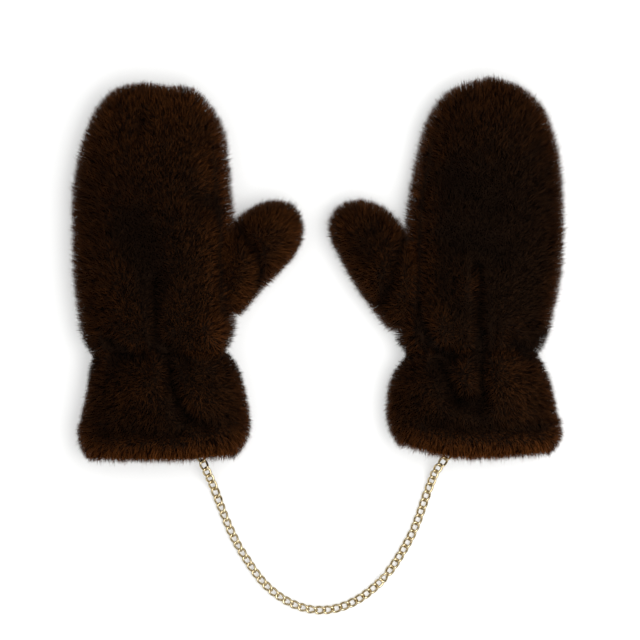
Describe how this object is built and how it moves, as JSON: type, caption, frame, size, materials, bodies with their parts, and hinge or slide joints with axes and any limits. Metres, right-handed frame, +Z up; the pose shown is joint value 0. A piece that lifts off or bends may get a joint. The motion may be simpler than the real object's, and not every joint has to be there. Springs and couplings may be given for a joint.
{
  "type": "pair of fur mittens joined by a chain",
  "caption": "Short-pile fur mittens with gathered wrists and flared cuffs, lying flat and joined cuff to cuff by a light curb chain.",
  "frame": {"origin": "middle of the pair's outline, on the surface that it lies on", "axes": "+Z up out of the surface, towards the backs of the hands; +Y from the wrists to the fingertips; +X from the left-hand mitten to the right-hand one"},
  "size_m": [0.3606, 0.3978, 0.0427],
  "materials": {
    "fur": "short dense dark-brown pile, lighter brown at the rims and hems",
    "anchor_thread": "dark sewn tape and thread",
    "chain_metal": "polished light-gold plating"
  },
  "bodies": {
    "root": {"left_back_panel": "fur", "left_palm_panel": "fur", "left_thumb": "fur", "left_cuff": "fur", "left_chain_anchor": "anchor_thread", "right_back_panel": "fur", "right_palm_panel": "fur", "right_thumb": "fur", "right_cuff": "fur", "right_chain_anchor": "anchor_thread", "chain": "chain_metal"}
  },
  "joints": []
}
